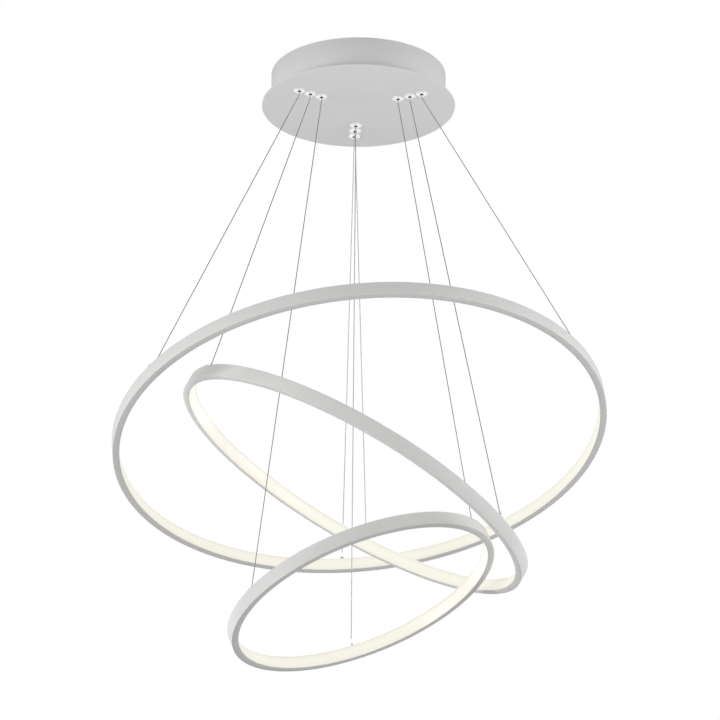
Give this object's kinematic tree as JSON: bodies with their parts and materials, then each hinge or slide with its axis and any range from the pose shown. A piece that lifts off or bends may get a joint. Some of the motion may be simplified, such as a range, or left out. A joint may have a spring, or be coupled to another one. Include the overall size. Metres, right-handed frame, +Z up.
{
  "type": "led ring chandelier",
  "caption": "Ceiling chandelier of tilted LED rings, each hung on slanting wires through cable grips in a round drum canopy.",
  "frame": {"origin": "centre of the canopy's upper rim, in the plane of the ceiling, midway between the two bracket slots", "axes": "+Z up towards the ceiling; -Y towards the viewer of the picture; X along the ceiling bracket"},
  "size_m": [0.8978, 0.8787, 1.1242],
  "materials": {
    "canopy_finish": "matt light grey-white powder coat",
    "ring_finish": "matt light grey-white powder coat on aluminium",
    "opal": "opal light diffuser, glowing warm white",
    "led_strip": "white flexible circuit with light chips",
    "chrome": "polished",
    "wire": "stranded steel under a thin clear jacket",
    "zinc": "bright zinc plate",
    "driver_case": "satin white moulding",
    "terminal": "ivory nylon",
    "grommet": "black rubber",
    "brass": "plain brass"
  },
  "bodies": {
    "canopy": {"ceiling_bracket": "zinc", "cable_grommet": "grommet", "drum": "canopy_finish", "drum_screws": "zinc", "canopy_plate": "canopy_finish", "plate_studs": "zinc", "plate_nuts": "zinc", "terminal_block": "terminal", "earth_post": "brass", "grip_nuts": "zinc", "driver_big": "driver_case", "grips_big": "chrome", "driver_mid": "driver_case", "grips_mid": "chrome", "driver_small": "driver_case", "grips_small": "chrome"},
    "ring_big": {"profile_big": "ring_finish", "diffuser_big": "opal", "led_strip_big": "led_strip", "joiner_big": "zinc", "anchors_big": "chrome", "anchor_screws_big": "zinc", "ball_shanks_big": "chrome", "wire_big_left": "wire", "wire_big_right": "wire", "wire_big_far": "wire"},
    "ring_mid": {"profile_mid": "ring_finish", "diffuser_mid": "opal", "led_strip_mid": "led_strip", "joiner_mid": "zinc", "anchors_mid": "chrome", "anchor_screws_mid": "zinc", "ball_shanks_mid": "chrome", "wire_mid_left": "wire", "wire_mid_right": "wire", "wire_mid_far": "wire"},
    "ring_small": {"profile_small": "ring_finish", "diffuser_small": "opal", "led_strip_small": "led_strip", "joiner_small": "zinc", "anchors_small": "chrome", "anchor_screws_small": "zinc", "ball_shanks_small": "chrome", "wire_small_left": "wire", "wire_small_right": "wire", "wire_small_far": "wire"},
    "sleeve_big_left": {"sleeve_big_left": "chrome"},
    "sleeve_big_right": {"sleeve_big_right": "chrome"},
    "sleeve_big_far": {"sleeve_big_far": "chrome"},
    "sleeve_mid_left": {"sleeve_mid_left": "chrome"},
    "sleeve_mid_right": {"sleeve_mid_right": "chrome"},
    "sleeve_mid_far": {"sleeve_mid_far": "chrome"},
    "sleeve_small_left": {"sleeve_small_left": "chrome"},
    "sleeve_small_right": {"sleeve_small_right": "chrome"},
    "sleeve_small_far": {"sleeve_small_far": "chrome"}
  },
  "joints": [
    {"name": "height_big", "type": "slide", "parent": "canopy", "child": "ring_big", "axis": [0, 0, 1], "range_m": [-0.06, 0.3], "deforming": ["wire_big_left", "wire_big_right", "wire_big_far"]},
    {"name": "height_mid", "type": "slide", "parent": "canopy", "child": "ring_mid", "axis": [0, 0, 1], "range_m": [-0.12, 0.04], "deforming": ["wire_mid_left", "wire_mid_right", "wire_mid_far"]},
    {"name": "height_small", "type": "slide", "parent": "canopy", "child": "ring_small", "axis": [0, 0, 1], "range_m": [-0.25, 0.1], "deforming": ["wire_small_left", "wire_small_right", "wire_small_far"]},
    {"name": "release_big_left", "type": "slide", "parent": "canopy", "child": "sleeve_big_left", "axis": [0, 0, 1], "range_m": [0, 0.002], "stiffness_N_per_m": 400, "springref_m": -0.002},
    {"name": "release_big_right", "type": "slide", "parent": "canopy", "child": "sleeve_big_right", "axis": [0, 0, 1], "range_m": [0, 0.002], "stiffness_N_per_m": 400, "springref_m": -0.002},
    {"name": "release_big_far", "type": "slide", "parent": "canopy", "child": "sleeve_big_far", "axis": [0, 0, 1], "range_m": [0, 0.002], "stiffness_N_per_m": 400, "springref_m": -0.002},
    {"name": "release_mid_left", "type": "slide", "parent": "canopy", "child": "sleeve_mid_left", "axis": [0, 0, 1], "range_m": [0, 0.002], "stiffness_N_per_m": 400, "springref_m": -0.002},
    {"name": "release_mid_right", "type": "slide", "parent": "canopy", "child": "sleeve_mid_right", "axis": [0, 0, 1], "range_m": [0, 0.002], "stiffness_N_per_m": 400, "springref_m": -0.002},
    {"name": "release_mid_far", "type": "slide", "parent": "canopy", "child": "sleeve_mid_far", "axis": [0, 0, 1], "range_m": [0, 0.002], "stiffness_N_per_m": 400, "springref_m": -0.002},
    {"name": "release_small_left", "type": "slide", "parent": "canopy", "child": "sleeve_small_left", "axis": [0, 0, 1], "range_m": [0, 0.002], "stiffness_N_per_m": 400, "springref_m": -0.002},
    {"name": "release_small_right", "type": "slide", "parent": "canopy", "child": "sleeve_small_right", "axis": [0, 0, 1], "range_m": [0, 0.002], "stiffness_N_per_m": 400, "springref_m": -0.002},
    {"name": "release_small_far", "type": "slide", "parent": "canopy", "child": "sleeve_small_far", "axis": [0, 0, 1], "range_m": [0, 0.002], "stiffness_N_per_m": 400, "springref_m": -0.002}
  ]
}
